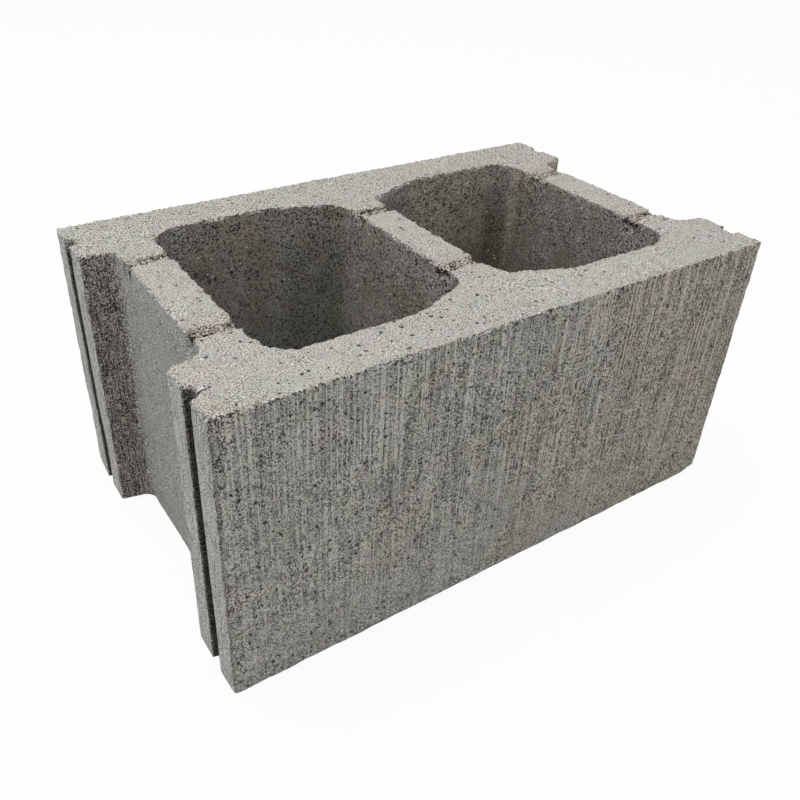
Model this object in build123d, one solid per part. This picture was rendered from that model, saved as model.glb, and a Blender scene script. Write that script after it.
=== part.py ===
from build123d import *
import os

# Two-core hollow concrete block, the way up it was moulded: core-bar marks on top, cores narrowing
# downwards. X runs along the wall, Y through it, Z up. The origin is the middle of the base.
# All sizes are in millimetres, and angles in degrees.

# Overall size: a 16 x 10 x 8 inch module less one mortar joint each way
LENGTH = 397.0
WIDTH = 244.0
HEIGHT = 194.0
CORNER_RADIUS = 1.5

# Walls, at the top, where they are thinnest
FACE_SHELL = 35.0
MIDDLE_WEB = 28.0
END_WEB = 28.0

# Cores: the mould's plugs taper so that the block can be pushed off them
CORE_DRAFT = 1.0
CORE_END_RADIUS = 20.0

# Flares where the middle web meets the shells: run along a shell, rise along the web
FLARE_RUN = 45.0
FLARE_RISE = 18.5
FLARE_SHELL_RADIUS = 50.0
FLARE_WEB_RADIUS = 14.0

# Ears on both ends of the shells, wider at the root than at the tip, with a recess between them
EAR_LENGTH = 21.5
EAR_TIP_WIDTH = 50.0
EAR_ROOT_GAIN = 5.0
EAR_TIP_RADIUS = 2.0
RECESS_RADIUS = 9.0

# One mortar groove down the end of each ear
GROOVE_FROM_FACE = 25.0
GROOVE_MOUTH = 11.5
GROOVE_FLOOR = 9.0
GROOVE_DEPTH = 5.0

# Core bars: two bars lay in the top of the mould along X, and left a shallow channel in each web
BAR_FROM_MIDDLE = 48.5
BAR_CHANNEL_MOUTH = 9.0
BAR_CHANNEL_FLOOR = 6.0
BAR_CHANNEL_DEPTH = 3.0

# Places that several features share
end_x = LENGTH / 2
face_y = WIDTH / 2
web_x = end_x - EAR_LENGTH
recess_y = face_y - EAR_TIP_WIDTH


def channel_section(mouth, floor, depth):
    """Section of a straight channel that opens at Y = 0 and goes down to Y = -depth."""
    with BuildSketch() as section:
        with BuildLine():
            Polyline(
                (-mouth / 2, depth),
                (-mouth / 2, 0),
                (-floor / 2, -depth),
                (floor / 2, -depth),
                (mouth / 2, 0),
                (mouth / 2, depth),
                close=True,
            )
        make_face()
    return section.sketch


def end_recess():
    """Plan of the recess between the ears of the +X end: widest at its mouth, rounded into the web."""
    root_y = recess_y - EAR_ROOT_GAIN
    with BuildSketch() as plan:
        with BuildLine():
            Polyline(
                (end_x, -recess_y),
                (web_x, -root_y),
                (web_x, root_y),
                (end_x, recess_y),
                close=True,
            )
        make_face()
        root_corners = plan.vertices().group_by(Axis.X)[0]
        fillet(root_corners, RECESS_RADIUS)
    return plan.sketch


def outline():
    """Plan of the block without its cores: round-cornered, with end recesses and ear grooves."""
    recess = end_recess()
    with BuildSketch() as plan:
        RectangleRounded(LENGTH, WIDTH, CORNER_RADIUS)
        with PolarLocations(0, 2):
            add(recess, mode=Mode.SUBTRACT)
        ear_tips = plan.vertices().filter_by(
            lambda corner: abs(abs(corner.X) - end_x) < 0.01 and abs(abs(corner.Y) - recess_y) < 0.01
        )
        fillet(ear_tips, EAR_TIP_RADIUS)
        groove = channel_section(GROOVE_MOUTH, GROOVE_FLOOR, GROOVE_DEPTH)
        for side in (-1, 1):
            groove_y = side * (face_y - GROOVE_FROM_FACE)
            with Locations(Location((end_x, groove_y), -90), Location((-end_x, groove_y), 90)):
                add(groove, mode=Mode.SUBTRACT)
    return plan.sketch


def core():
    """The core on the +X side: widest at the top, flared towards the shells beside the middle web."""
    inner_x = MIDDLE_WEB / 2
    outer_x = web_x - END_WEB
    shell_y = face_y - FACE_SHELL
    flare_x = inner_x + FLARE_RUN
    flare_y = shell_y - FLARE_RISE
    with BuildSketch(Plane.XY.offset(HEIGHT)) as mouth:
        with BuildLine():
            half = Polyline(
                (inner_x, 0),
                (inner_x, flare_y),
                (flare_x, shell_y),
                (outer_x, shell_y),
                (outer_x, 0),
            )
            mirror(half, about=Plane.XZ)
        make_face()
        corners = mouth.vertices().filter_by(lambda corner: abs(corner.Y) > 0.01)
        end_corners = corners.group_by(Axis.X)[-1]
        fillet(end_corners, CORE_END_RADIUS)
        fillet(mouth.vertices().filter_by(lambda corner: abs(corner.X - flare_x) < 0.01), FLARE_SHELL_RADIUS)
        fillet(
            mouth.vertices().filter_by(
                lambda corner: abs(corner.X - inner_x) < 0.01 and abs(corner.Y) > 0.01
            ),
            FLARE_WEB_RADIUS,
        )
    return extrude(mouth.sketch, amount=-HEIGHT, taper=CORE_DRAFT)


def core_bars():
    """The two bars' shapes along the top, from one end recess to the other."""
    section = channel_section(BAR_CHANNEL_MOUTH, BAR_CHANNEL_FLOOR, BAR_CHANNEL_DEPTH)
    across_top = Plane(origin=(0, 0, HEIGHT), x_dir=(0, 1, 0), z_dir=(1, 0, 0))
    bars = Part()
    for side in (-1, 1):
        placed = across_top * Pos(side * BAR_FROM_MIDDLE, 0) * section
        bars += extrude(placed, amount=end_x, both=True)
    return bars


right_core = core()
left_core = mirror(right_core, about=Plane.YZ)
block = extrude(outline(), amount=HEIGHT) - right_core - left_core - core_bars()
block.label = "concrete_block"

os.makedirs("parts", exist_ok=True)
export_step(block, "parts/concrete_block.step")
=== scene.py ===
from math import cos, radians, sin, sqrt

import bmesh
import bpy
import numpy as np
from mathutils import Matrix, Vector, noise
from mathutils.geometry import delaunay_2d_cdt
from mathutils.kdtree import KDTree


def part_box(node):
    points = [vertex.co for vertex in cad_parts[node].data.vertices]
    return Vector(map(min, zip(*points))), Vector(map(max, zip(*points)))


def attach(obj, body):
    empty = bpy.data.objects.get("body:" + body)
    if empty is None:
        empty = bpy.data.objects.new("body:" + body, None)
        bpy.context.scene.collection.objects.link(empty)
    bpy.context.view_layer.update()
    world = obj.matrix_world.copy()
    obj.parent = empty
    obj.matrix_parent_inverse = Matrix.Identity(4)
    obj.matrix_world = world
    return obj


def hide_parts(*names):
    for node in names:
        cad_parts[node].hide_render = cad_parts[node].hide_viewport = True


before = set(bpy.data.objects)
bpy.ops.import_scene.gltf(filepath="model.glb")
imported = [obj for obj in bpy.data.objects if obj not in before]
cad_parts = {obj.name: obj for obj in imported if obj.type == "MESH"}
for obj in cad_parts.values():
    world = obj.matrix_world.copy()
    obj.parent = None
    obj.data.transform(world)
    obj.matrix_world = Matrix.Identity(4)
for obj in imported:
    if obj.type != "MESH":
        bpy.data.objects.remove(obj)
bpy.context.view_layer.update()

# The mesh is worked out in millimetres and turned into metres when it is made
MM = 0.001
TINY = 1e-6
BLOCK = "concrete_block"
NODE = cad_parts[BLOCK]
LOW, HIGH = [np.array(corner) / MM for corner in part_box(BLOCK)]
HEIGHT = HIGH[2]
END_X = HIGH[0]
FACE_Y = HIGH[1]

# Where the two bars that held the cores lay across the webs, and half the width of their marks
BAR_Y = 48.5
BAR_HALF = 4.6

# Where the end webs face the recesses, and where the mortar grooves are
WEB_X = 177.0
GROOVE_Y = 97.0
GROOVE_REACH = 7.5

# How far in from the block's box a point still belongs to a face, or to the flat end of an ear
FACE_BAND = 1.5
STRIP_BAND = 0.6

# Mesh spacing: columns along every outline, closer at the bar marks and in tight bends
COLUMN = 1.5
MARK_COLUMN = 0.75
TIGHT_COLUMN = 0.55
TIGHT_BEND = 0.25
MARK_REACH = 9.0
TRACE_STEP = 0.2
SHARP_CORNER = radians(25)

# Mesh spacing: rows down the walls, closest at the top, and the last ones above the foot
FINE_DEPTH = 12.0
FIRST_ROW = 0.9
ROW_GROWTH = 1.22
COARSE_ROW = 4.2
FOOT_ROWS = (6.5, 3.4, 1.4, 0.0)

# Mesh spacing: points inside the top and the base, how far each is shaken, and their gap to the rims
TOP_SPACING = 1.35
MARK_SPACING = 0.75
BASE_SPACING = 5.0
GRID_SHAKE = 0.22
RIM_GAP = 0.6
SMOOTH_ANGLE = radians(58)

# Edges worn round, most at two corners of the foot
EDGE_RADIUS = 0.8
EDGE_LEAST = 0.35
WORN_CORNERS = ((-198.5, 122.0, 0.0), (198.5, -122.0, 0.0))
WORN_RADIUS = 5.0
WORN_REACH = 10.0

# Chips along the upper edges: spacing, least size and most size. Each chip's ball stands off the edge
# by a share of its size.
OUTER_CHIPS = (3.2, 1.0, 2.7)
CORE_CHIPS = (3.5, 1.2, 3.2)
MIDDLE_WEB_CHIPS = (6.0, 2.8, 4.6)
MIDDLE_WEB_X = 22
CHIP_RISE = (0.5, 0.85)

# The larger chips: x, y, z and size
LARGE_CHIP_RISE = 0.5
CHIPS = (
    (-198.5, -119.0, 194.0, 3.6),
    (-195.0, -122.0, 194.0, 3.4),
    (-187.0, -122.0, 194.0, 3.0),
    (-184.0, -122.0, 194.0, 2.4),
    (-197.5, -91.0, 194.0, 2.6),
    (-194.0, -92.0, 194.0, 2.4),
    (-197.5, 101.5, 194.0, 2.2),
    (149.0, -46.5, 190.0, 4.2),
    (149.0, -52.0, 188.0, 4.5),
    (149.0, -49.0, 184.0, 3.6),
    (150.0, -54.0, 194.0, 3.4),
)

# The marks of the core bars: where each is, how deep its floor lies, how lumpy it is, and how torn
# it is along its +Y and its -Y side
MARKS = (
    (-163.0, 48.5, 1.3, 0.6, 0.9, 1.0),
    (-163.0, -48.5, 1.8, 1.3, 0.45, 1.3),
    (0.0, 48.5, 1.4, 0.8, 1.0, 1.0),
    (0.0, -48.5, 0.6, 1.0, 0.35, 0.4),
    (163.0, 48.5, 0.5, 1.1, 0.3, 0.3),
    (163.0, -48.5, 1.4, 1.5, 0.6, 0.7),
)

# What all the marks share: their length and greatest depth, how they widen at the edges of a web, how deep
# they are torn, most of all at a recess, and how their clumps and colours fade down the walls
MARK_LENGTH = 64.0
MARK_DEEPEST = 7.0
MOUTH_GAIN = 2.2
MOUTH_FADE = 2.2
TEAR_HALF = 1.0
TEAR_DEPTH = 2.6
TEAR_GAIN_AT_RECESS = 3.0
RECESS_FADE = 4.0
CLUMP_FADE = 10.0
MARK_FADE = 8.0
HOLLOW_FADE = 6.0

# Crevices at the marks and the near corner, painted dark with shade: where each starts and stops, its size
# and how dark its painted shade is.
# Each is a row of balls, with their step, shake, sizes and rise off the surface as shares of its size.
CREVICE_STEP = 0.7
CREVICE_SHAKE = 0.3
CREVICE_SIZES = (0.75, 1.15)
CREVICE_RISE = 0.4
CREVICES = (
    ((-177.0, -50.4, 193.5), (-177.0, -51.8, 191.5), 2.6, 0.55),
    ((-172.0, -49.9, 191.3), (-162.0, -50.2, 191.3), 1.4, 1.0),
    ((-177.2, 43.0, 193.0), (-177.2, 43.6, 187.0), 1.3, 1.0),
    ((-14.6, -44.0, 187.5), (-15.0, -54.0, 190.0), 2.0, 0.33),
    ((-6.4, -44.5, 193.6), (-6.4, -53.5, 193.6), 0.8, 0.9),
    ((149.0, -45.5, 192.0), (149.2, -53.0, 190.0), 1.6, 0.42),
    ((-195.4, -99.8, 194.0), (-188.0, -96.9, 194.0), 0.8, 0.40),
    ((-198.2, -121.9, 193.4), (-193.5, -122.0, 190.4), 0.9, 0.38),
    ((-188.6, -122.0, 192.2), (-183.0, -122.0, 193.2), 0.8, 0.45),
)

# Where the surface crumbles: x, y and reach, and how that fades downwards in the far core and elsewhere
CRUMBLY = (
    (163.0, 48.5, 17.0),
    (157.0, -48.5, 16.0),
    (0.0, -48.5, 15.0),
    (0.0, 48.5, 9.0),
    (-163.0, -48.5, 9.0),
    (-192.0, -122.0, 10.0),
)
FAR_CORE_X = 100
FAR_CRUMBLY_FADE = 20.0
CRUMBLY_FADE = 10.0

# How the colour of the chips fades downwards
BROKEN_FADE = 6.0

# How deep the hollows between lumps of coarse grit are on each kind of surface
TOP_GRIT = 0.16
CORE_GRIT = 0.4
SIDE_GRIT = 0.2
BROKEN_GRIT = 0.4

SEED = 20260
RANDOM = np.random.default_rng(SEED)


# Outlines

def slice_outlines(height):
    """Closed outlines of the CAD block cut level at that height, as arrays of (x, y), the outer one first."""
    cut = bmesh.new()
    cut.from_mesh(NODE.data)
    bmesh.ops.remove_doubles(cut, verts=cut.verts, dist=TINY)
    everything = cut.verts[:] + cut.edges[:] + cut.faces[:]
    found = bmesh.ops.bisect_plane(cut, geom=everything, plane_co=(0, 0, height * MM), plane_no=(0, 0, 1))
    edges = {item for item in found["geom_cut"] if isinstance(item, bmesh.types.BMEdge)}
    outlines = []
    while edges:
        edge = edges.pop()
        start, corner = edge.verts
        points = [start.co.copy()]
        while corner is not start:
            points.append(corner.co.copy())
            edge = next(link for link in corner.link_edges if link in edges)
            edges.remove(edge)
            corner = edge.other_vert(corner)
        outlines.append(np.array(points)[:, :2] / MM)
    cut.free()
    outer, *cores = sorted(outlines, key=outline_length, reverse=True)
    return [outer] + sorted(cores, key=lambda points: points[:, 0].mean())


def from_left(points):
    """The same closed outline, starting from its point farthest to -X, and of those to -Y."""
    first = np.lexsort((points[:, 1].round(3), points[:, 0].round(3)))[0]
    return np.roll(points, -first, axis=0)


def outline_length(points):
    """Length of a closed outline."""
    return np.linalg.norm(points - np.roll(points, -1, axis=0), axis=1).sum()


def signed_area(points):
    """Area inside a closed outline, above 0 where it runs anticlockwise."""
    x, y = points.T
    return 0.5 * np.sum(x * np.roll(y, -1) - y * np.roll(x, -1))


def turn_angles(points):
    """How far a closed outline turns at each of its points, in radians."""
    before = points - np.roll(points, 1, axis=0)
    after = np.roll(points, -1, axis=0) - points
    cross = before[:, 0] * after[:, 1] - before[:, 1] * after[:, 0]
    return np.abs(np.arctan2(cross, (before * after).sum(1)))


def beside_mark(points):
    """Which points are where a bar mark crosses a web, or right beside it."""
    return np.abs(np.abs(points[:, 1]) - BAR_Y) < MARK_REACH


def resample(points):
    """Points along a closed outline, closer at the bar marks and in tight bends, with sharp corners kept."""
    corners = np.flatnonzero(turn_angles(points) > SHARP_CORNER)
    first = corners[0] if len(corners) else 0
    points = np.roll(points, -first, axis=0)
    breaks = list(corners - first) if len(corners) else [0]
    breaks.append(len(points))
    closed = np.vstack([points, points[:1]])
    result = []
    for start, stop in zip(breaks[:-1], breaks[1:]):
        run = closed[start:stop + 1]
        along = np.concatenate([[0], np.cumsum(np.linalg.norm(np.diff(run, axis=0), axis=1))])
        steps = np.linspace(0, along[-1], 2 + int(along[-1] / TRACE_STEP))
        close = np.column_stack([np.interp(steps, along, run[:, axis]) for axis in (0, 1)])
        heading = np.unwrap(np.arctan2(*np.diff(close, axis=0).T[::-1]))
        turn = np.abs(np.diff(heading, append=heading[-1])) / steps[1]
        bend = np.convolve(turn, np.full(5, 1 / 5), "same")
        spacing = np.where(beside_mark(close[:-1]), MARK_COLUMN, COLUMN)
        spacing[bend > TIGHT_BEND] = TIGHT_COLUMN
        count = np.concatenate([[0], np.cumsum(np.diff(steps) / spacing)])
        even = 2 * max(1, round(count[-1] / 2))
        at = np.interp(np.linspace(0, count[-1], even + 1)[:-1], count, steps)
        result.append(np.column_stack([np.interp(at, along, run[:, axis]) for axis in (0, 1)]))
    return np.vstack(result)


def side_normals(points):
    """Unit normals of a closed outline, to the right of its direction."""
    along = np.roll(points, -1, axis=0) - np.roll(points, 1, axis=0)
    normals = np.column_stack([along[:, 1], -along[:, 0]])
    return normals / np.linalg.norm(normals, axis=1, keepdims=True)


def inside(points, outline):
    """Which points lie inside a closed outline."""
    result = np.zeros(len(points), bool)
    x, y = points.T
    for (x0, y0), (x1, y1) in zip(outline, np.roll(outline, -1, axis=0)):
        if y0 != y1:
            crosses = (y0 > y) != (y1 > y)
            result ^= crosses & (x < x0 + (y - y0) * (x1 - x0) / (y1 - y0))
    return result


# The skin: one closed mesh of the whole block

class Skin:
    """Vertices with an outward direction and a kind of surface each, and the faces between them."""

    def __init__(self):
        self.points = []
        self.outward = []
        self.kinds = []
        self.faces = []
        self.count = 0

    def add(self, points, outward, kind):
        indices = np.arange(self.count, self.count + len(points))
        self.points.append(points)
        self.outward.append(np.broadcast_to(outward, points.shape))
        self.kinds += [kind] * len(points)
        self.count += len(points)
        return indices


def wall_levels():
    """Heights of a wall's rows from the top down, and how many of them have all the columns."""
    depths = [0.0]
    step = FIRST_ROW
    while depths[-1] < FINE_DEPTH:
        depths.append(depths[-1] + step)
        step *= ROW_GROWTH
    fine_rows = len(depths)
    foot = [HEIGHT - rise for rise in FOOT_ROWS]
    coarse = round((foot[0] - depths[-1]) / COARSE_ROW)
    depths += list(np.linspace(depths[-1], foot[0], coarse + 1)[1:]) + foot[1:]
    return HEIGHT - np.array(depths), fine_rows


def add_wall(skin, outline, draft, kind):
    """A wall round one outline. It returns the vertices of its top and bottom rows."""
    normals = side_normals(outline)
    levels, fine_rows = wall_levels()
    rows = []
    for number, z in enumerate(levels):
        columns = slice(None) if number < fine_rows else slice(None, None, 2)
        place = outline - normals * draft * (z - HEIGHT / 2)
        lift = {0: 1.0, len(levels) - 1: -1.0}.get(number, 0.0)
        outward = np.column_stack([normals, np.full(len(outline), lift)]) / sqrt(1 + lift * lift)
        points = np.column_stack([place, np.full(len(outline), z)])
        rows.append(skin.add(points[columns], outward[columns], kind))
    for upper, lower in zip(rows[:-1], rows[1:]):
        right = np.roll(upper, -1)
        if len(upper) == len(lower):
            skin.faces += zip(upper, lower, np.roll(lower, -1), right)
            continue
        even, odd, after = upper[0::2], upper[1::2], right[1::2]
        skin.faces += zip(even, lower, odd)
        skin.faces += zip(odd, lower, np.roll(lower, -1))
        skin.faces += zip(odd, np.roll(lower, -1), after)
    return rows[0], rows[-1]


def scatter(spacing):
    """Points over the whole plan in a slightly shaken triangular grid."""
    rows, columns = np.mgrid[-FACE_Y:FACE_Y:spacing * sqrt(3) / 2, -END_X:END_X:spacing]
    columns[1::2] += spacing / 2
    grid = np.column_stack([columns.ravel(), rows.ravel()])
    return grid + RANDOM.uniform(-GRID_SHAKE, GRID_SHAKE, grid.shape) * spacing


def add_level_face(skin, rims, spacing, mark_spacing, up, kind):
    """The flat top or base inside the rims, the first of which goes round the outside."""
    everything = np.vstack(skin.points)
    z = everything[rims[0][0], 2]
    loops = [everything[rim, :2] for rim in rims]
    rim_tree = nearest_tree(np.vstack(loops))
    grids = []
    for step, at_marks in ((spacing, False), (mark_spacing, True)):
        grid = scatter(step)
        grid = grid[beside_mark(grid) == at_marks]
        keep = inside(grid, loops[0])
        for loop in loops[1:]:
            keep &= ~inside(grid, loop)
        grid = grid[keep]
        gap = np.array([rim_tree.find((x, y, 0))[2] for x, y in grid])
        grids.append(grid[gap > RIM_GAP * step])
    grid = np.vstack(grids)
    inner = skin.add(np.column_stack([grid, np.full(len(grid), z)]), (0, 0, 1.0 if up else -1.0), kind)
    indices = np.concatenate(list(rims) + [inner])
    flat = np.vstack(loops + [grid])
    edges = []
    start = 0
    for loop in loops:
        ring = np.arange(start, start + len(loop))
        edges += zip(ring.tolist(), np.roll(ring, -1).tolist())
        start += len(loop)
    _, _, triangles, origins, _, _ = delaunay_2d_cdt([Vector(p) for p in flat], edges, [], 0, 1e-5)
    corner = np.array([indices[origin[0]] for origin in origins])
    triangles = np.array(triangles)
    middles = flat[np.array([origin[0] for origin in origins])][triangles].mean(1)
    keep = inside(middles, loops[0])
    for loop in loops[1:]:
        keep &= ~inside(middles, loop)
    triangles = corner[triangles[keep]]
    skin.faces += [tuple(t) if up else tuple(t[::-1]) for t in triangles]


def nearest_tree(points):
    """A tree that finds the nearest of the given (x, y) points."""
    tree = KDTree(len(points))
    for number, (x, y) in enumerate(points):
        tree.insert((x, y, 0), number)
    tree.balance()
    return tree


def make_skin():
    """The whole skin, and the vertices of each outline's top and bottom rows."""
    outlines = slice_outlines(HEIGHT / 2)
    upper = slice_outlines(0.75 * HEIGHT)
    grown = np.ptp(upper[1][:, 0]) - np.ptp(outlines[1][:, 0])
    core_draft = grown / 2 / (0.25 * HEIGHT)
    skin = Skin()
    tops = []
    bottoms = []
    for number, outline in enumerate(outlines):
        is_core = number > 0
        if (signed_area(outline) > 0) == is_core:
            outline = outline[::-1]
        outline = resample(from_left(outline))
        top, bottom = add_wall(skin, outline, core_draft if is_core else 0.0, "core" if is_core else "outer")
        tops.append(top)
        bottoms.append(bottom)
    add_level_face(skin, tops, TOP_SPACING, MARK_SPACING, True, "top")
    add_level_face(skin, bottoms, BASE_SPACING, BASE_SPACING, False, "base")
    return skin, tops, bottoms


# Noise and relief

def waves(points, length, seed, octaves=1):
    """Smooth noise of about that wavelength at each point, mostly from -1 to 1."""
    shift = np.array([seed * 17.3, seed * 9.1, seed * 4.7])
    places = (points / length + shift).tolist()
    if octaves == 1:
        return np.array([noise.noise(place) for place in places]) * 1.6
    return np.array([noise.fractal(place, 0.7, 2.1, octaves) for place in places]) * 1.2


def smooth(value, start, stop):
    """A soft step from 0 at the start to 1 at the stop."""
    t = np.clip((value - start) / (stop - start), 0, 1)
    return t * t * (3 - 2 * t)


def rounding(distance, radius):
    """How far a rounded edge of that radius falls back, at a distance from the edge."""
    inset = np.clip(radius - distance, 0, None)
    return radius - np.sqrt(np.clip(radius * radius - inset * inset, 0, None))


def distance_to(rims, points):
    """Distance from each (x, y) point to the nearest point of the rims."""
    tree = nearest_tree(np.vstack(rims))
    return np.array([tree.find((x, y, 0))[2] for x, y in points])


class Surface:
    """The skin as arrays: where each vertex is, which way it faces and how far it is from the edges."""

    def __init__(self, skin, tops, bottoms):
        self.points = np.vstack(skin.points)
        self.outward = np.vstack(skin.outward)
        kinds = np.array(skin.kinds)
        self.top, self.base, self.core, self.outer = [kinds == k for k in ("top", "base", "core", "outer")]
        self.wall = self.core | self.outer
        self.flat = self.points * (1, 1, 0)
        self.depth = HEIGHT - self.points[:, 2]
        self.from_top = self.depth.copy()
        self.from_top[self.top] = distance_to([self.points[r, :2] for r in tops], self.points[self.top, :2])
        self.from_foot = self.points[:, 2].copy()
        base_gap = distance_to([self.points[r, :2] for r in bottoms], self.points[self.base, :2])
        self.from_foot[self.base] = base_gap
        self.fine = np.where(self.top, 1.0, smooth(self.from_top, FINE_DEPTH + 2, FINE_DEPTH - 4))
        self.fine[self.base] = 0.0
        self.broken = np.zeros(len(self.points))
        self.crack = np.zeros(len(self.points))

    def sink(self, amount):
        """Moves each vertex inwards by its own amount."""
        self.points -= self.outward * np.asarray(amount)[:, None]

    def bite(self, centre, radius, mask, share=1.0):
        """Takes a ball out of the block: the points inside it move out to its surface, and are masked."""
        away = self.points - centre
        distance = np.linalg.norm(away, axis=1)
        near = distance < radius
        self.points[near] = centre + away[near] / np.maximum(distance[near, None], TINY) * radius
        mask[near] = np.maximum(mask[near], share)


def wear_edges(s):
    """Rounds the edges, more in some places than others, and most at the worn corners."""
    radius = EDGE_RADIUS + 0.6 * waves(s.points, 14, seed=1) + 0.4 * waves(s.points, 5, seed=2)
    for corner in WORN_CORNERS:
        gap = np.linalg.norm(s.points - corner, axis=1)
        radius += WORN_RADIUS * np.exp(-((gap / WORN_REACH) ** 2))
    radius = np.clip(radius, EDGE_LEAST, None)
    sunk = np.where(s.base, 0, rounding(s.from_top, radius))
    sunk = sunk + np.where(s.top, 0, rounding(s.from_foot, radius))
    corner_edge = s.wall & ((s.depth < TINY) | (s.from_foot < TINY))
    sunk[corner_edge] = (sqrt(2) - 1) * radius[corner_edge]
    s.sink(sunk)


def press_bar_marks(s):
    """Sinks a rough band across each web where a core bar lay, torn along both its sides."""
    s.mark = np.zeros(len(s.points))
    s.hollow = np.zeros(len(s.points))
    for x, y, floor, lumps, torn_plus, torn_minus in MARKS:
        from_middle = np.abs(s.points - (x, y, 0))
        near = (from_middle[:, 0] < MARK_LENGTH / 2) & (from_middle[:, 1] < 3 * BAR_HALF)
        near = np.flatnonzero(near & ~s.base & (s.from_foot > FINE_DEPTH))
        points, flat, top = s.points[near], s.flat[near], s.top[near]
        depth = np.where(top, 0, s.depth[near])
        side = points[:, 1] - y + 1.1 * waves(flat, 9, seed=5) + 0.5 * waves(flat, 3, seed=6)
        half = BAR_HALF + MOUTH_GAIN * np.exp(-np.where(top, s.from_top[near], 0) / MOUTH_FADE)
        band = 1 - smooth(np.abs(side), half - 1.2, half + 0.5)
        tear = np.exp(-(((np.abs(side) - half + TEAR_HALF) / TEAR_HALF) ** 2))
        torn = np.where(side > 0, torn_plus, torn_minus)
        tear *= torn * np.clip(0.7 + 1.4 * waves(flat, 5, seed=7), 0, 1.5)
        at_recess = np.exp(-np.abs(WEB_X - np.abs(flat[:, 0])) / RECESS_FADE)
        uneven = floor + lumps * (waves(flat, 2.6, seed=8) + 0.5 * waves(flat, 5.5, seed=10))
        cut = band * uneven + (TEAR_DEPTH + TEAR_GAIN_AT_RECESS * at_recess) * tear
        cut = np.clip(cut, 0, MARK_DEEPEST)
        s.points[near, 2] -= cut * np.clip(1 - depth / (FINE_DEPTH - 1), 0, 1)
        clump = np.clip(0.3 + 1.3 * waves(points * (1, 1, 0.6), 3.6, seed=9), -0.6, 1.8)
        clump *= lumps * band * np.exp(-depth / CLUMP_FADE) * ~top
        s.points[near] -= s.outward[near] * clump[:, None]
        s.mark[near] = band * np.exp(-depth / MARK_FADE)
        # The tears' mask, for the painted shade in them
        s.hollow[near] = np.clip(1.3 * tear, 0, 1) * np.exp(-depth / HOLLOW_FADE)


def open_crevices(s):
    """Opens each crevice as a row of balls taken out of the surface, masked for the painted shade in it."""
    for start, stop, size, darkness in CREVICES:
        start, stop = np.array(start), np.array(stop)
        count = 2 + int(np.linalg.norm(stop - start) / (CREVICE_STEP * size))
        for share in np.linspace(0, 1, count):
            shake = RANDOM.uniform(-CREVICE_SHAKE, CREVICE_SHAKE, 3) * size
            radius = size * RANDOM.uniform(*CREVICE_SIZES)
            place = start + share * (stop - start) + shake
            nearest = np.argmin(np.linalg.norm(s.points - place, axis=1))
            centre = s.points[nearest] + s.outward[nearest] * CREVICE_RISE * radius
            s.bite(centre, radius, s.crack, darkness)


def chip_edges(s, tops):
    """Bites along the upper edges: small ones anywhere, and the larger ones seen on this block."""
    outer, *cores = tops
    middle_web = [row[(s.points[row, 0] > 0) & (s.points[row, 0] < MIDDLE_WEB_X)] for row in cores]
    rows = [(outer, *OUTER_CHIPS)]
    rows += [(row, *CORE_CHIPS) for row in cores]
    rows += [(row, *MIDDLE_WEB_CHIPS) for row in middle_web if len(row)]
    for row, spacing, least, most in rows:
        for place in RANDOM.choice(row, int(len(row) * COLUMN / spacing), replace=False):
            size = RANDOM.uniform(least, most)
            rise = RANDOM.uniform(*CHIP_RISE)
            s.bite(s.points[place] + s.outward[place] * size * rise, size, s.broken)
    for x, y, z, size in CHIPS:
        nearest = np.argmin(np.linalg.norm(s.points - (x, y, z), axis=1))
        s.bite(np.array((x, y, z)) + s.outward[nearest] * LARGE_CHIP_RISE * size, size, s.broken)


def roughen(s):
    """Long shallow waves, lumps the size of coarse grit where the mesh can show them, and uneven corners."""
    s.sink(np.clip(0.1 + 0.3 * waves(s.points, 45, seed=3), 0, None))
    lumps = waves(s.points, 11, seed=11)
    s.sink(np.where(s.core, 0.45 * lumps + 0.35 * waves(s.points, 24, seed=12), 0))
    height = np.select([s.top, s.core], [TOP_GRIT, CORE_GRIT], SIDE_GRIT) + BROKEN_GRIT * s.broken
    s.sink(s.fine * np.clip(height * (0.8 + waves(s.points, 3.0, seed=4, octaves=2)), 0, None))
    s.sink(s.mark * s.fine * np.clip(0.4 + 0.6 * waves(s.points, 1.7, seed=13), 0, None))
    from_corner = np.max(HIGH[:2] - np.abs(s.points[:, :2]), axis=1)
    bumps = np.clip(0.15 + 0.4 * waves(s.points, 6.5, seed=14), 0, None)
    s.sink(s.outer * smooth(from_corner, 4.0, 1.0) * bumps)


def surface_masks(s, start):
    """How far each vertex belongs to each kind of surface, from where it was before any wear."""
    x, y = np.abs(start[:, 0]), np.abs(start[:, 1])
    face = s.outer & (y > FACE_Y - FACE_BAND)
    strip = s.outer & ~face & (x > END_X - STRIP_BAND)
    by_groove = s.outer & (x > END_X - GROOVE_REACH) & (np.abs(y - GROOVE_Y) < GROOVE_REACH)
    web = s.outer & ~face & ~strip & ~by_groove
    crumbly = np.zeros(len(start))
    for spot_x, spot_y, reach in CRUMBLY:
        gap = np.hypot(start[:, 0] - spot_x, start[:, 1] - spot_y)
        crumbly = np.maximum(crumbly, np.exp(-((gap / reach) ** 2)))
    fade = np.where(s.core & (start[:, 0] > FAR_CORE_X), FAR_CRUMBLY_FADE, CRUMBLY_FADE)
    down_groove = np.where(start[:, 1] < 0, smooth(s.depth, -6, 4), smooth(s.depth, 0, 13))
    return {
        "core": s.core,
        "corner": np.where(s.core, smooth(np.abs(s.outward[:, 0] * s.outward[:, 1]), 0.1, 0.45), 0),
        "face": face,
        "strip": strip,
        "groove": by_groove * down_groove,
        "crumbly": crumbly * np.exp(-s.depth / fade),
        "web": web,
        "side": np.where(web, smooth(np.abs(s.outward[:, 1]), 0.3, 0.9), 0),
        "mark": s.mark,
        "hollow": s.hollow,
        "crack": s.crack,
        "broken": s.broken * np.exp(-s.depth / BROKEN_FADE),
    }


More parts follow.
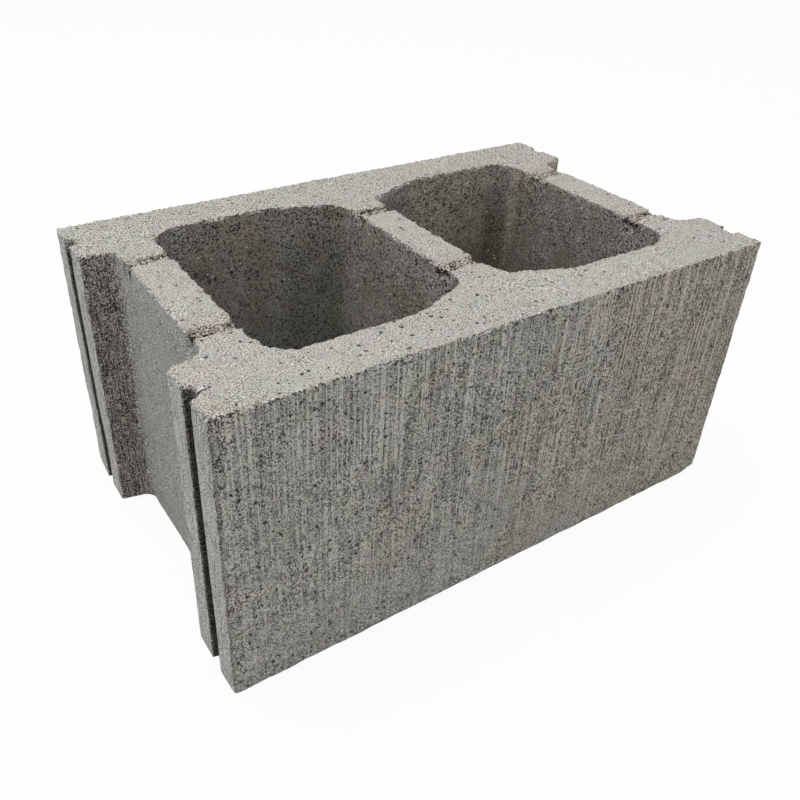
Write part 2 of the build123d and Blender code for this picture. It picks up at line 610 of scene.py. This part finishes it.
def build_block():
    """The block as one object, with its masks as attributes of the mesh."""
    skin, tops, bottoms = make_skin()
    s = Surface(skin, tops, bottoms)
    start = s.points.copy()
    wear_edges(s)
    press_bar_marks(s)
    open_crevices(s)
    chip_edges(s, tops)
    roughen(s)
    s.points = np.clip(s.points, LOW, HIGH)

    mesh = bpy.data.meshes.new(BLOCK)
    mesh.from_pydata((s.points * MM).tolist(), [], [tuple(int(i) for i in face) for face in skin.faces])
    mesh.shade_smooth()
    mesh.set_sharp_from_angle(angle=SMOOTH_ANGLE)
    for name, values in surface_masks(s, start).items():
        attribute = mesh.attributes.new(name, "FLOAT", "POINT")
        attribute.data.foreach_set("value", np.asarray(values, np.float32))
    block = bpy.data.objects.new("block", mesh)
    bpy.context.scene.collection.objects.link(block)
    return block


# Materials

class Graph:
    """Short ways to add nodes to a material or the world."""

    def __init__(self, owner):
        owner.use_nodes = True
        self.tree = owner.node_tree
        self.tree.nodes.clear()

    def feed(self, socket, value):
        """Links another node's output to the socket, or sets the socket's own value."""
        if isinstance(value, bpy.types.NodeSocket):
            self.tree.links.new(value, socket)
        else:
            socket.default_value = value

    def add(self, kind, inputs=None, **settings):
        """A new node with its inputs fed and its settings made."""
        node = self.tree.nodes.new("ShaderNode" + kind)
        for name, value in settings.items():
            setattr(node, name, value)
        for name, value in (inputs or {}).items():
            self.feed(node.inputs[name], value)
        return node

    def math(self, operation, first, second=0.0, third=0.0):
        return self.add("Math", {0: first, 1: second, 2: third}, operation=operation).outputs[0]

    def times(self, first, second):
        return self.math("MULTIPLY", first, second)

    def total(self, start, *terms):
        """The start plus each value times its share."""
        for value, share in terms:
            start = self.math("MULTIPLY_ADD", value, share, start)
        return start

    def stretch(self, place, factors):
        """The place times a factor along each axis: a small one draws patterns out along it."""
        return self.add("VectorMath", {0: place, 1: factors}, operation="MULTIPLY").outputs[0]

    def noise(self, place, length, detail=2.0, roughness=0.55):
        """Noise of about that wavelength, from 0 to 1 and mostly near 0.5."""
        inputs = {"Vector": place, "Scale": 1.0 / length, "Detail": detail, "Roughness": roughness}
        return self.add("TexNoise", inputs).outputs["Fac"]

    def cells(self, place, length):
        """Distance to the nearest cell's middle, as a share of the length, and that cell's own number."""
        cell = self.add("TexVoronoi", {"Vector": place, "Scale": 1.0 / length}).outputs
        return cell["Distance"], self.add("SeparateColor", {0: cell["Color"]}).outputs[0]

    def span(self, value, start, stop, low=0.0, high=1.0):
        """A soft step from low at the start to high at the stop."""
        inputs = {"Value": value, "From Min": start, "From Max": stop, "To Min": low, "To Max": high}
        return self.add("MapRange", inputs, interpolation_type="SMOOTHSTEP").outputs[0]

    def mix(self, share, first, second, blend="MIX"):
        node = self.add("Mix", data_type="RGBA", blend_type=blend)
        for index, value in ((0, share), (6, first), (7, second)):
            self.feed(node.inputs[index], value)
        return node.outputs[2]

    def mask(self, name):
        """One of the masks that the mesh carries."""
        return self.add("Attribute", attribute_name=name).outputs["Fac"]

    def dots(self, place, length, share, size):
        """Round spots in that share of the cells, up to that size of a cell."""
        distance, number = self.cells(place, length)
        radius = self.span(number, 1 - share, 1.0, 0.0, size)
        return self.span(self.math("SUBTRACT", radius, distance), 0.0, DOT_RIM * size)


def grey(value):
    return (value, value, value, 1.0)


# Colours of the surfaces and the marks, and of the painted shade in the grooves, the cores, the tears and the
# pits
TOP_OLIVE = (0.490, 0.479, 0.424, 1)
TOP_PINK = (0.502, 0.476, 0.437, 1)
FACE_COOL = (0.488, 0.482, 0.437, 1)
FACE_OLIVE = (0.492, 0.463, 0.388, 1)
FACE_MAUVE = (0.496, 0.451, 0.393, 1)
WEB_GREY = (0.488, 0.484, 0.458, 1)
STRIP_GREY = (0.690, 0.690, 0.652, 1)
SIDE_BROWN = (0.370, 0.340, 0.308, 1)
SIDE_PALE = (0.560, 0.510, 0.450, 1)
GROOVE_SHADE_BROWN = (0.230, 0.220, 0.200, 1)
GROOVE_SHADE_DARK = (0.075, 0.069, 0.060, 1)
ARRIS_BROWN = (0.300, 0.272, 0.240, 1)
CORE_GREY = (0.303, 0.286, 0.264, 1)
CORE_PALE = (0.350, 0.335, 0.276, 1)
FLARE_GREEN = (0.190, 0.190, 0.157, 1)
CORE_BROWN = (0.270, 0.240, 0.205, 1)
CORE_OLIVE = (0.252, 0.260, 0.226, 1)
CORE_UMBER = (0.198, 0.168, 0.136, 1)
MARK_BROWN = (0.430, 0.382, 0.340, 1)
CRUMB_PINK = (0.470, 0.405, 0.355, 1)
CRUMB_BROWN = (0.330, 0.272, 0.228, 1)
TEAR_SHADE_BROWN = (0.120, 0.098, 0.080, 1)
BROKEN_PALE = (0.560, 0.535, 0.490, 1)
PIT_SHADE = (0.045, 0.041, 0.035, 1)
SPECK_PALE = (0.860, 0.850, 0.810, 1)

# Sizes of the material's patterns, in millimetres
PATCH = 50
BLOTCH = 22
WARMTH = 70
STAIN = 26
LINE = 1.35
WIDE_LINE = 2.0
STREAK = 0.9
SCRAPE = 16
SAND = 0.95
GRIT = 1.9
CALM_PATCH = 18
MOTTLE = 7
DRIFT = 13
CLUSTER = 9
RAGGED_PIT = 2.2
ROUND_PIT = 4.2
FINE_PIT = 1.9
PIT_PATCH = 9
PIT_SHAKE = 2.2
TEAR_GRAIN = 1.6
SPECK = 3.6
WIDE_SPECK = 9.0
LUMP = 3.5
BUMP_DEPTH = 1.0

# How patterns are drawn out: factors along X, Y and Z
DOWN_LINES = (1, 1, 0.02)
DOWN_WIDE_LINES = (1, 1, 0.014)
DOWN_STREAKS = (1, 1, 0.07)
DOWN_SCRAPES = (1, 1, 0.45)
DOWN_STAINS = (1, 1, 0.35)
ACROSS_CLUSTERS = (0.45, 0.45, 1)

# Where surfaces change, in millimetres along X, Y or Z: from none to all of the change
RIGHT_X = (-10, 10)
FRONT_Y = (10, -10)
FARTHER_X = (-120, 120)
BACK_WALL_Y = (60, 72)
BACK_GRAIN_Y = (20, 110)
BACK_PITS_Y = (30, 90)
DEEP_Z = (125, 75)
DEEP_DROP = -22.0
FLARE_Z = (195, 130)
FAR_CORNER_X = (90, 120)
FAR_CORNER_Z = (175, 140)
FAR_SIDE_X = (110, 140)
FAR_WALL_X = (115, 145)
FAR_WALL_Z = (180, 145)
PALE_FACE_Z = (120, 180)
FACE_EDGE_Z = (182, 194)

# Noise values between which a pattern goes from one side to the other, and the limits of shade
SWING = (0.38, 0.62)
STAIN_SWING = (0.42, 0.60)
DARKEST = 0.12
LIGHTEST = 1.75
DRIFT_SWING = (0.18, 0.05, 0.22)
DRIFT_LEAST = (0.91, 0.975, 0.89)
DOT_RIM = 0.18
ROUGHNESS = 0.95
SPECULAR = 0.2


def concrete():
    """Weathered grey block concrete: sandy grain, pits, pale specks, and drag lines down the sides."""
    material = bpy.data.materials.new("concrete")
    g = Graph(material)
    metres = g.add("TexCoord").outputs["Object"]
    place = g.stretch(metres, (1 / MM, 1 / MM, 1 / MM))
    x_at, y_at, z_at = g.add("SeparateXYZ", {0: place}).outputs
    core, face, strip, groove, web = [g.mask(name) for name in ("core", "face", "strip", "groove", "web")]
    side, mark, hollow, broken = [g.mask(name) for name in ("side", "mark", "hollow", "broken")]
    corner, crumbly, crack = [g.mask(name) for name in ("corner", "crumbly", "crack")]
    level_top = g.total(1.0, (face, -1.0), (strip, -1.0), (web, -1.0), (core, -1.0))
    right = g.span(x_at, *RIGHT_X)
    left = g.math("SUBTRACT", 1.0, right)

    # The colour of the top, the faces and the ends, before any grain
    patches = g.span(g.noise(place, PATCH, 2), *SWING)
    blotches = g.span(g.noise(place, BLOTCH, 3, 0.6), *STAIN_SWING)
    warm = g.span(g.total(g.times(x_at, 0.004), (g.noise(place, WARMTH, 2), 2.0)), 0.7, 1.4)
    tint = g.mix(patches, TOP_OLIVE, TOP_PINK)
    tint = g.mix(face, tint, g.mix(warm, FACE_COOL, g.mix(blotches, FACE_OLIVE, FACE_MAUVE)))
    tint = g.mix(web, tint, WEB_GREY)
    tint = g.mix(strip, tint, STRIP_GREY)
    tint = g.mix(side, tint, g.mix(right, SIDE_BROWN, SIDE_PALE))
    side = g.times(side, left)
    from_end = g.math("SUBTRACT", END_X, g.math("ABSOLUTE", x_at))
    # Painted shade in the mortar grooves: dark from just inside their mouths, darkest farther in and below
    # the top
    in_groove = g.times(groove, g.span(from_end, 0.2, 0.6))
    out_of_light = g.times(g.span(from_end, 0.8, 1.6), g.span(z_at, HEIGHT, 180, 0.3, 1.0))
    tint = g.mix(in_groove, tint, g.mix(out_of_light, GROOVE_SHADE_BROWN, GROOVE_SHADE_DARK))
    arris = g.times(g.times(face, g.span(from_end, 4.0, 0.8)), left)
    tint = g.mix(g.times(arris, 0.6), tint, ARRIS_BROWN)

    # The colour of the core walls: stained, paler on the far core's back wall, and with painted shade darker
    # lower down and darkest at the flares and one corner, where there is some stain as well
    stain = g.span(g.noise(g.stretch(place, DOWN_STAINS), STAIN, 3, 0.6), *STAIN_SWING)
    back = g.times(g.span(y_at, *BACK_WALL_Y), g.math("SUBTRACT", 1.0, corner))
    far_side = g.times(core, g.span(x_at, *FAR_SIDE_X))
    wall = g.mix(stain, CORE_GREY, CORE_BROWN)
    wall = g.mix(g.times(back, right), wall, CORE_PALE)
    # Painted shade: darker lower down in the cores, starting higher in the far core
    deep = g.mix(right, CORE_OLIVE, CORE_UMBER)
    wall = g.mix(g.span(g.total(z_at, (right, DEEP_DROP)), *DEEP_Z), wall, deep)
    # Painted shade, with some stain: darker in the near core's corners, most lower down, and low in the far
    # core's far corners
    flare_shade = g.times(g.times(corner, left), g.span(z_at, *FLARE_Z, 0.25, 0.95))
    wall = g.mix(flare_shade, wall, FLARE_GREEN)
    far_corner_shade = g.times(g.times(corner, g.span(x_at, *FAR_CORNER_X)), g.span(z_at, *FAR_CORNER_Z))
    wall = g.mix(far_corner_shade, wall, CORE_UMBER)
    tint = g.mix(core, tint, wall)
    tint = g.mix(g.times(mark, 0.6), tint, MARK_BROWN)
    tint = g.mix(g.times(crumbly, 0.6), tint, g.mix(core, CRUMB_PINK, CRUMB_BROWN))
    tint = g.mix(g.times(broken, 0.35), tint, BROKEN_PALE)

    # Drag lines, where the block scraped down the mould's side: wider and stronger farther along the front
    farther = g.times(g.span(x_at, *FARTHER_X), g.span(y_at, *FRONT_Y))
    lines = g.noise(g.stretch(place, DOWN_LINES), LINE, 1, 0.7)
    wide_lines = g.noise(g.stretch(place, DOWN_WIDE_LINES), WIDE_LINE, 1, 0.7)
    lines = g.total(lines, (g.times(farther, g.math("SUBTRACT", wide_lines, lines)), 0.8))
    stronger = g.total(1.0, (farther, 0.35))
    streaks = g.noise(g.stretch(place, DOWN_STREAKS), STREAK, 2, 0.6)
    scraped = g.span(g.noise(g.stretch(place, DOWN_SCRAPES), SCRAPE, 3, 0.6), 0.34, 0.48)
    less_scraped = g.times(g.span(z_at, 0, 130, 0.3, 1.0), g.span(x_at, -190, -60, 0.6, 1.0))
    scraped = g.math("MAXIMUM", g.times(scraped, less_scraped), g.span(z_at, 110, 175, 0.0, 0.85))
    scraped = g.times(scraped, face)
    pale_line = g.times(g.times(g.span(lines, 0.52, 0.59), scraped), stronger)
    streaky = g.total(g.times(strip, 0.9), (side, 1.4), (web, 0.4))
    dark_line = g.times(g.span(streaks, 0.52, 0.36), streaky)
    between = g.times(g.times(g.span(lines, 0.47, 0.38), scraped), stronger)
    dark_line = g.total(dark_line, (between, 0.9))

    # Grain: sand all over, coarser grit on some surfaces, and soft mottling
    sand = g.noise(place, SAND, 1, 0.9)
    calmer = g.span(g.noise(place, CALM_PATCH, 2), 0.36, 0.64, -0.22, 0.14)
    upper_face = g.times(face, g.span(z_at, 10, 150, 0.7, 1.0))
    amount = g.total(0.48, (core, 0.40), (upper_face, 0.15), (side, 0.2), (web, 0.15), (mark, 0.15))
    amount = g.total(amount, (crumbly, 0.3), (calmer, 0.6), (in_groove, 0.6), (far_side, -0.25))
    amount = g.total(amount, (g.times(level_top, g.span(y_at, *BACK_GRAIN_Y)), 0.2))
    grain = g.times(g.span(sand, *SWING, -1.0, 1.0), amount)
    grit = g.span(g.noise(place, GRIT, 1, 0.8), *SWING, -1.0, 1.0)
    gritty = g.total(g.times(core, 0.35), (far_side, -0.15), (side, 0.2))
    gritty = g.total(gritty, (g.times(upper_face, farther), 0.22))
    grain = g.total(grain, (g.times(grit, gritty), 1.0))
    lively = g.total(0.4, (face, 0.6), (core, 0.6))
    mottle = g.times(g.span(g.noise(place, MOTTLE, 3, 0.6), 0.3, 0.7, -0.16, 0.16), lively)

    # Shade: grain and lines together, with painted light and shade on the core walls, lighter below their
    # tops, in the near core and on the back walls, and darker on the far side and low on its far wall, and a
    # slow drift of colour
    # Painted light and shade on the core walls
    far_wall_shade = g.times(g.span(x_at, *FAR_WALL_X), g.span(z_at, *FAR_WALL_Z))
    lift = g.total(g.span(z_at, 180, 130, 0.08, 0.28), (far_wall_shade, -0.17), (far_side, -0.09), (left, 0.15))
    lift = g.total(lift, (g.times(back, g.span(x_at, -130, -95, 0.4, 1.0)), 0.26))
    shade = g.total(1.0, (grain, 1.0), (mottle, 1.0), (pale_line, 0.58), (dark_line, -0.35))
    shade = g.total(shade, (g.times(core, lift), 1.0), (g.times(face, g.span(z_at, *PALE_FACE_Z)), 0.06))
    shade = g.math("MINIMUM", g.math("MAXIMUM", shade, DARKEST), LIGHTEST)
    shade = g.add("CombineColor", {0: shade, 1: shade, 2: shade}).outputs[0]
    tint = g.mix(1.0, tint, shade, "MULTIPLY")
    drift = g.add("TexNoise", {"Vector": place, "Scale": 1 / DRIFT, "Detail": 2.0}).outputs["Color"]
    shares = {0: drift, 1: DRIFT_SWING, 2: DRIFT_LEAST}
    drift = g.add("VectorMath", shares, operation="MULTIPLY_ADD").outputs[0]
    tint = g.mix(1.0, tint, drift, "MULTIPLY")

    # Ragged pits: the level below which the noise is a pit, higher where there are more of them
    cluster = g.span(g.noise(g.stretch(place, ACROSS_CLUSTERS), CLUSTER, 2), 0.50, 0.64)
    level = g.total(0.315, (g.times(face, cluster), 0.055), (core, 0.02), (g.times(core, cluster), 0.06))
    level = g.total(level, (upper_face, 0.024), (far_side, -0.035), (side, 0.06), (mark, 0.06))
    level = g.total(level, (g.times(mark, core), 0.06), (broken, 0.05), (web, -0.03), (arris, 0.04))
    level = g.total(level, (crumbly, 0.06), (g.times(crumbly, core), 0.11))
    level = g.total(level, (g.times(face, g.span(z_at, *FACE_EDGE_Z)), 0.05))
    level = g.total(level, (g.times(level_top, g.span(y_at, *BACK_PITS_Y)), 0.055))
    level = g.total(level, (g.times(core, back), 0.05))
    pit = g.span(g.noise(place, RAGGED_PIT, 2, 0.75), level, g.math("SUBTRACT", level, 0.02))

    # Round pits of two sizes, shaken out of round
    shake = g.add("TexNoise", {"Vector": place, "Scale": 0.9, "Detail": 1.0}).outputs["Color"]
    shaken = {0: shake, 1: (PIT_SHAKE, PIT_SHAKE, PIT_SHAKE), 2: place}
    shaken = g.add("VectorMath", shaken, operation="MULTIPLY_ADD").outputs[0]
    round_share = g.math("SUBTRACT", 1.0, g.times(g.math("MAXIMUM", web, strip), 0.6))
    pit = g.math("MAXIMUM", pit, g.times(g.dots(shaken, ROUND_PIT, share=0.5, size=0.29), round_share))
    fine_share = g.total(0.55, (face, 0.45), (core, 0.45), (far_side, -0.5))
    fine_share = g.times(fine_share, g.span(g.noise(place, PIT_PATCH, 2), 0.36, 0.54))
    pit = g.math("MAXIMUM", pit, g.times(g.dots(shaken, FINE_PIT, share=0.8, size=0.32), fine_share))

    # Painted shade in the tears beside the bar marks, in the crevices and in the pits, and pale specks over
    # them all
    uneven = g.noise(place, TEAR_GRAIN, 2, 0.6)
    tear = g.span(g.total(hollow, (uneven, 1.8)), 1.32, 1.50)
    tint = g.mix(g.times(tear, 0.9), tint, TEAR_SHADE_BROWN)
    pit = g.math("MAXIMUM", pit, g.span(g.total(crack, (uneven, 1.8)), 1.20, 1.34))
    # Painted shade: the pits and crevices darkened nearly to black
    tint = g.mix(g.times(pit, 0.92), tint, PIT_SHADE)
    small_speck = g.dots(place, SPECK, share=0.35, size=0.20)
    speck = g.math("MAXIMUM", small_speck, g.dots(place, WIDE_SPECK, share=0.3, size=0.12))
    tint = g.mix(g.times(speck, g.total(1.0, (web, -0.6))), tint, SPECK_PALE)

    # Relief too fine for the mesh
    relief = g.total(0.0, (sand, 0.6), (g.times(g.noise(place, LUMP, 2), lively), 0.6), (pit, -1.4))
    relief = g.total(relief, (pale_line, 0.4), (dark_line, -0.4), (tear, -1.0))
    bump = g.add("Bump", {"Height": relief, "Distance": BUMP_DEPTH * MM, "Strength": 1.0}).outputs[0]
    shader = g.add("BsdfPrincipled", {"Base Color": tint, "Roughness": ROUGHNESS, "Normal": bump})
    shader.inputs["Specular IOR Level"].default_value = SPECULAR
    g.add("OutputMaterial", {"Surface": shader.outputs[0]})
    return material


# Stage

# The floor: how pale it is to bounced light and to the eye, and how far it is whitened
FLOOR_SIZE = 12.0
FLOOR_BOUNCE = 0.42
FLOOR_SEEN = 0.9
FLOOR_WHITEN = 0.93

# The light: an even sky and one large lamp overhead
SKY_STRENGTH = 0.58
LAMP_SIZE = 1.2
LAMP_FROM = (-0.22, 0.10, 0.97)
LAMP_DISTANCE = 2.2
LAMP_POWER = 20.5

# The camera, fitted to the photograph: millimetres, degrees, and pixels of its square frame
FRAME_PX = 800
CAMERA_AT = (-299.25, -401.81, 408.62)
CAMERA_AZIMUTH = -34.271
CAMERA_ELEVATION = 33.431
CAMERA_ROLL = 2.182
FOCAL_PX = 816.85
CENTRE_PX = (377.36, 380.85)
SENSOR = 36.0


def camera_ray(g):
    """1 where the camera, a reflection or a see-through surface looks straight at the surface."""
    path = g.add("LightPath").outputs
    seen = g.math("MAXIMUM", path["Is Camera Ray"], path["Is Glossy Ray"])
    return g.math("MAXIMUM", seen, path["Is Transmission Ray"])


def make_floor():
    """A pale floor that looks white and keeps the block's shadow."""
    mesh = bpy.data.meshes.new("floor")
    half = FLOOR_SIZE / 2
    corners = [(-half, -half, 0), (half, -half, 0), (half, half, 0), (-half, half, 0)]
    mesh.from_pydata(corners, [], [(0, 1, 2, 3)])
    floor = bpy.data.objects.new("floor", mesh)
    bpy.context.scene.collection.objects.link(floor)
    material = bpy.data.materials.new("floor")
    g = Graph(material)
    seen = camera_ray(g)
    colour = g.mix(seen, grey(FLOOR_BOUNCE), grey(FLOOR_SEEN))
    paint = g.add("BsdfDiffuse", {"Color": colour}).outputs[0]
    white = g.add("Emission", {"Color": grey(1.0), "Strength": 1.0}).outputs[0]
    share = g.math("MULTIPLY", seen, FLOOR_WHITEN)
    g.add("OutputMaterial", {"Surface": g.add("MixShader", {0: share, 1: paint, 2: white}).outputs[0]})
    mesh.materials.append(material)


def make_light():
    """Soft light from all round, and a lamp from above."""
    world = bpy.data.worlds.new("studio")
    bpy.context.scene.world = world
    g = Graph(world)
    seen = camera_ray(g)
    strength = g.math("MULTIPLY_ADD", seen, 1.0 - SKY_STRENGTH, SKY_STRENGTH)
    sky = g.add("Background", {"Color": grey(1.0), "Strength": strength}).outputs[0]
    g.add("OutputWorld", {"Surface": sky})
    lamp = bpy.data.lights.new("overhead", "AREA")
    lamp.size = LAMP_SIZE
    lamp.energy = LAMP_POWER
    holder = bpy.data.objects.new("overhead", lamp)
    towards = Vector(LAMP_FROM).normalized()
    holder.location = towards * LAMP_DISTANCE
    holder.rotation_euler = towards.to_track_quat("Z", "Y").to_euler()
    bpy.context.scene.collection.objects.link(holder)


def make_camera():
    """The camera where the photograph was taken from."""
    turn, rise, roll = [radians(a) for a in (CAMERA_AZIMUTH, CAMERA_ELEVATION, CAMERA_ROLL)]
    back = Vector((sin(turn) * cos(rise), -cos(turn) * cos(rise), sin(rise)))
    right = Vector((0, 0, 1)).cross(back).normalized()
    up = back.cross(right)
    axes = (cos(roll) * right + sin(roll) * up, cos(roll) * up - sin(roll) * right, back)
    lens = bpy.data.cameras.new("camera")
    lens.sensor_width = SENSOR
    lens.lens = FOCAL_PX / FRAME_PX * SENSOR
    lens.shift_x = 0.5 - CENTRE_PX[0] / FRAME_PX
    lens.shift_y = CENTRE_PX[1] / FRAME_PX - 0.5
    camera = bpy.data.objects.new("camera", lens)
    camera.matrix_world = Matrix.Translation(Vector(CAMERA_AT) * MM) @ Matrix(axes).transposed().to_4x4()
    bpy.context.scene.collection.objects.link(camera)
    bpy.context.scene.camera = camera


block = build_block()
block.data.materials.append(concrete())
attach(block, "root")
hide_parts(BLOCK)
make_floor()
make_light()
make_camera()
bpy.context.scene.view_settings.view_transform = "Standard"
